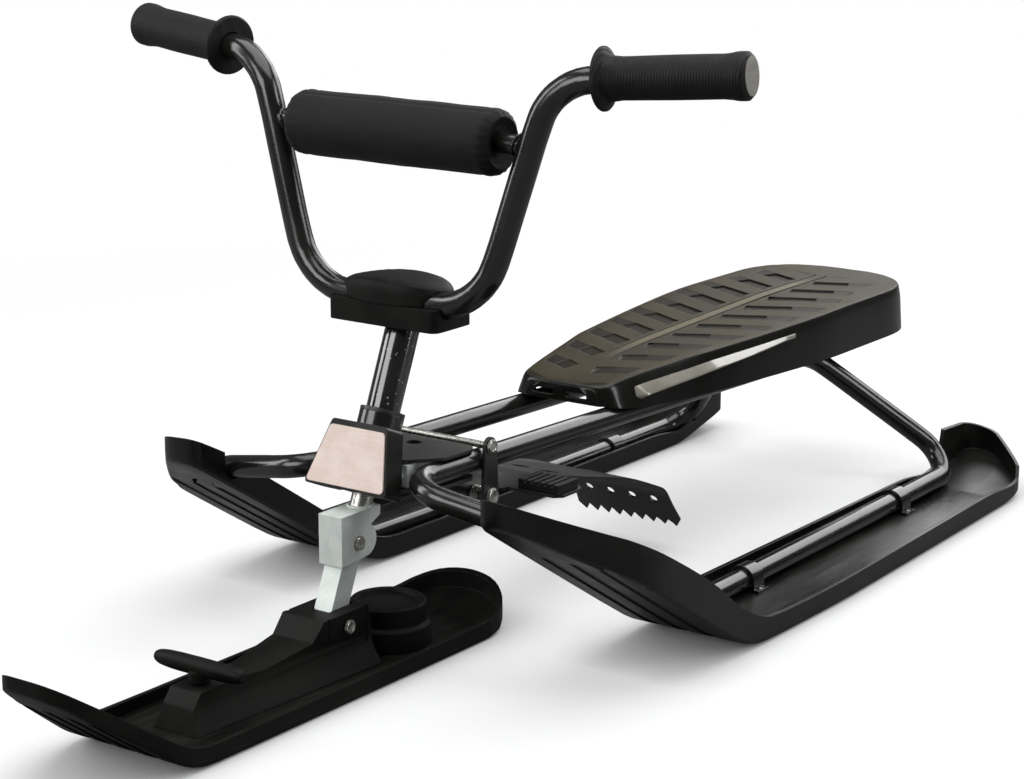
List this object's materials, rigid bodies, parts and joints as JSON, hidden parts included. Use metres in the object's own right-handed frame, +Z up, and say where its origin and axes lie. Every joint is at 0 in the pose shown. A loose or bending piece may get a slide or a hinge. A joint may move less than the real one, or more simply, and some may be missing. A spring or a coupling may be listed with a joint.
{
  "type": "steering sled",
  "caption": "Snow racer sled with a raked handlebar, a steered front ski, long tray skis behind, a ribbed seat on a bent tube frame and a toothed foot brake.",
  "frame": {"origin": "on the ground, below the middle of the sled's length and width", "axes": "-Y forwards to the front ski's tip, +X to the rider's left, +Z up"},
  "size_m": [0.6202, 1.196, 0.5126],
  "materials": {
    "black_paint": "satin powder coat",
    "black_plastic": "moulded, satin",
    "seat_plastic": "moulded, fine grain",
    "grip_rubber": "matte",
    "pad_foam": "foam in a smooth sleeve",
    "zinc_plate": "zinc plated",
    "bright_steel": "bright",
    "plate_beige": "smooth",
    "bush_nylon": "moulded"
  },
  "bodies": {
    "frame": {"frame_tube_left": "black_paint", "frame_tube_right": "black_paint", "head_tube": "black_paint", "head_bush_upper": "bush_nylon", "head_bush_lower": "bush_nylon", "head_gusset_upper": "black_paint", "head_gusset_lower": "black_paint", "head_shield": "black_plastic", "head_plate": "plate_beige", "head_lug_left": "zinc_plate", "head_lug_right": "zinc_plate", "rear_ski_left": "black_plastic", "rear_ski_right": "black_plastic", "tube_saddle_left_front": "black_paint", "tube_saddle_left_rear": "black_paint", "tube_saddle_right_front": "black_paint", "tube_saddle_right_rear": "black_paint", "brake_hanger_left": "black_paint", "brake_hanger_right": "black_paint", "hanger_bolt": "bright_steel", "brake_axle": "bright_steel", "axle_nut": "bright_steel", "seat_shell": "seat_plastic", "seat_bracket_front": "black_paint", "seat_bracket_rear": "black_paint", "seat_screw_front_left": "bright_steel", "seat_screw_front_right": "bright_steel", "seat_screw_rear_left": "bright_steel", "seat_screw_rear_right": "bright_steel", "brake_spring_left": "bright_steel", "brake_spring_right": "bright_steel"},
    "brake": {"brake_plate": "black_paint", "brake_pedal_left": "grip_rubber", "brake_pedal_right": "grip_rubber"},
    "steering": {"steering_spindle": "bright_steel", "steering_column": "black_paint", "steering_collar": "zinc_plate", "handlebar": "black_paint", "crossbar": "black_paint", "crossbar_pad": "pad_foam", "bar_clamp_base": "black_plastic", "bar_clamp_cover": "black_plastic", "clamp_bolt_left": "bright_steel", "clamp_bolt_right": "bright_steel", "grip_left": "grip_rubber", "grip_right": "grip_rubber", "fork_bracket": "zinc_plate", "fork_leg": "zinc_plate", "fork_bolt": "bright_steel", "fork_nut": "bright_steel"},
    "front_ski": {"front_ski": "black_plastic", "front_mast": "black_plastic", "ski_pivot_bolt": "bright_steel", "ski_pivot_nut": "bright_steel", "reel_housing": "black_plastic"},
    "reel_drum": {"reel_drum": "bush_nylon"},
    "tow_handle": {"tow_handle": "black_plastic"}
  },
  "joints": [
    {"name": "steer", "type": "hinge", "parent": "frame", "child": "steering", "pos_m": [0, -0.2026, 0.168], "axis": [0, 0.3907, 0.9205], "range_deg": [-25, 25]},
    {"name": "ski_pitch", "type": "hinge", "parent": "steering", "child": "front_ski", "pos_m": [0, -0.262, 0.043], "axis": [1, 0, 0], "range_deg": [-10, 10]},
    {"name": "handle_lift", "type": "slide", "parent": "front_ski", "child": "tow_handle", "axis": [0, 0, 1], "range_m": [0, 0.06]},
    {"name": "reel_turn", "type": "hinge", "parent": "front_ski", "child": "reel_drum", "pos_m": [0, -0.184, 0.02], "axis": [0, 0, 1], "range_deg": [0, 157]},
    {"name": "brake_press", "type": "hinge", "parent": "frame", "child": "brake", "pos_m": [0, -0.118, 0.124], "axis": [-1, 0, 0], "range_deg": [0, 12], "stiffness_Nm_per_rad": 8, "springref_deg": -14.32, "deforming": ["brake_spring_left", "brake_spring_right"]}
  ],
  "couplings": [
    {"joint": "reel_turn", "follows": "handle_lift", "rad_per_m": 45.455}
  ]
}
